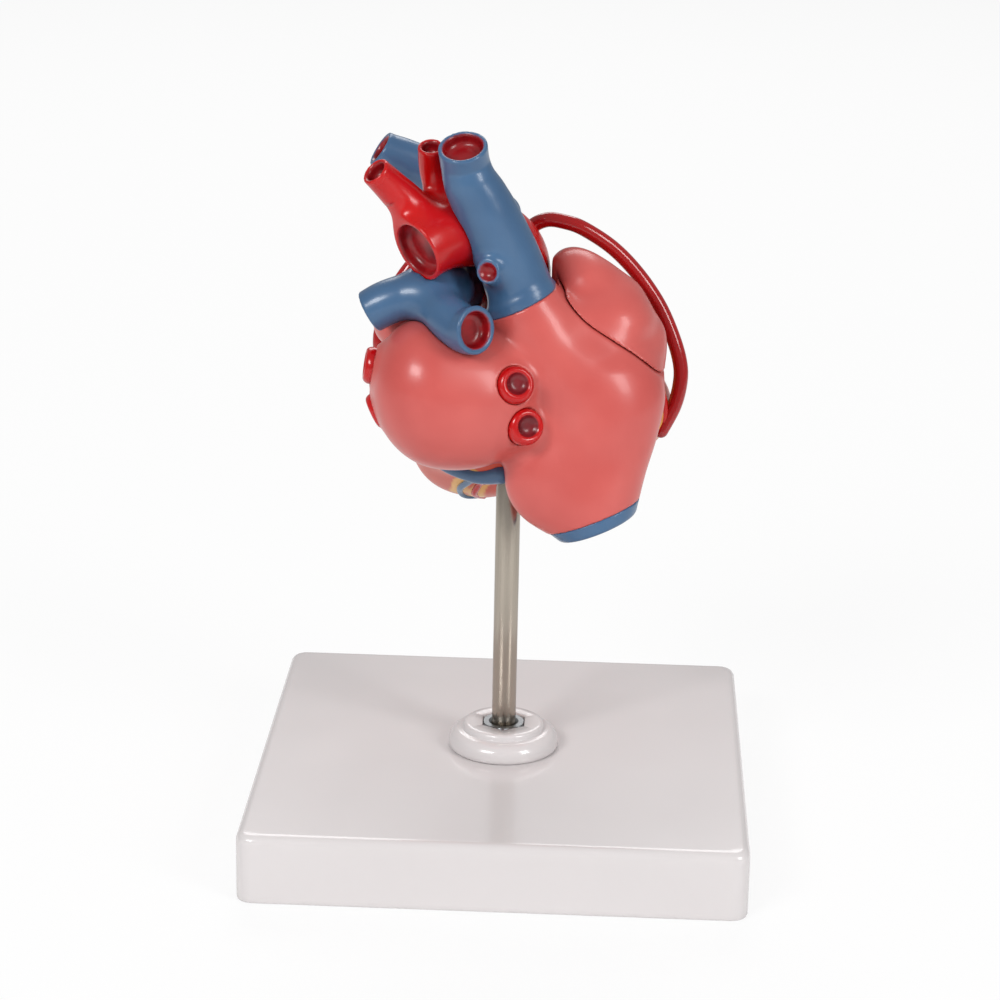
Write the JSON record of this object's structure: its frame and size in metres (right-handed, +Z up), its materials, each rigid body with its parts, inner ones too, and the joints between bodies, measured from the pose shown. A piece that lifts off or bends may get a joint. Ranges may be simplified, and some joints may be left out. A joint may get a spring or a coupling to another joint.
{
  "type": "anatomical heart model on stand",
  "caption": "Classroom model of a human heart with bypass tubes on a rod stand; the front wall pulls off to show chambers and valves.",
  "frame": {"origin": "centre of the base plate's underside", "axes": "+Z up along the rod; the front of the heart faces -Y; the heart's own left side is +X"},
  "size_m": [0.12, 0.12, 0.1739],
  "materials": {
    "stand_plastic": "white gloss moulding",
    "steel": "zinc-plated",
    "rod_steel": "brushed stainless",
    "muscle": "satin hand-painted",
    "atrium": "satin hand-painted",
    "vein_blue": "satin hand-painted",
    "artery_red": "gloss hand-painted",
    "valve": "satin",
    "bypass_red": "gloss flexible tube"
  },
  "bodies": {
    "stand": {"base_plate": "stand_plastic", "rod_collar": "stand_plastic", "lock_nut": "steel", "clamp_washer": "steel", "clamp_nut": "steel"},
    "rod_post": {"rod": "rod_steel"},
    "heart": {"rod_socket": "steel", "ventricles_rear": "muscle", "left_atrium": "atrium", "right_atrium": "atrium", "left_auricle": "atrium", "superior_vena_cava": "vein_blue", "left_brachiocephalic_vein": "vein_blue", "inferior_vena_cava": "vein_blue", "aorta": "artery_red", "pulmonary_arteries": "vein_blue", "right_superior_vein": "artery_red", "right_inferior_vein": "artery_red", "left_superior_vein": "artery_red", "left_inferior_vein": "artery_red", "coronary_sinus": "vein_blue", "posterior_artery": "artery_red", "mitral_valve": "valve", "tricuspid_valve": "valve", "aortic_valve": "valve", "pulmonary_valve": "valve", "left_papillary_muscles": "muscle"},
    "front": {"front_wall": "muscle", "right_auricle": "atrium", "right_coronary_artery": "artery_red", "anterior_artery": "artery_red", "circumflex_artery": "artery_red", "cardiac_vein": "vein_blue", "bypass_right": "bypass_red", "bypass_anterior": "bypass_red", "bypass_circumflex": "bypass_red", "right_papillary_muscles": "muscle", "locating_pegs": "steel"}
  },
  "joints": [
    {"name": "heart_swivel", "type": "hinge", "parent": "stand", "child": "rod_post", "pos_m": [0, 0, 0.05], "axis": [0, 0, 1], "continuous": true},
    {"name": "heart_lift", "type": "slide", "parent": "rod_post", "child": "heart", "axis": [0, 0, 1], "range_m": [0, 0.12]},
    {"name": "front_wall_pull", "type": "slide", "parent": "heart", "child": "front", "axis": [0, -1, 0], "range_m": [0, 0.09]}
  ]
}
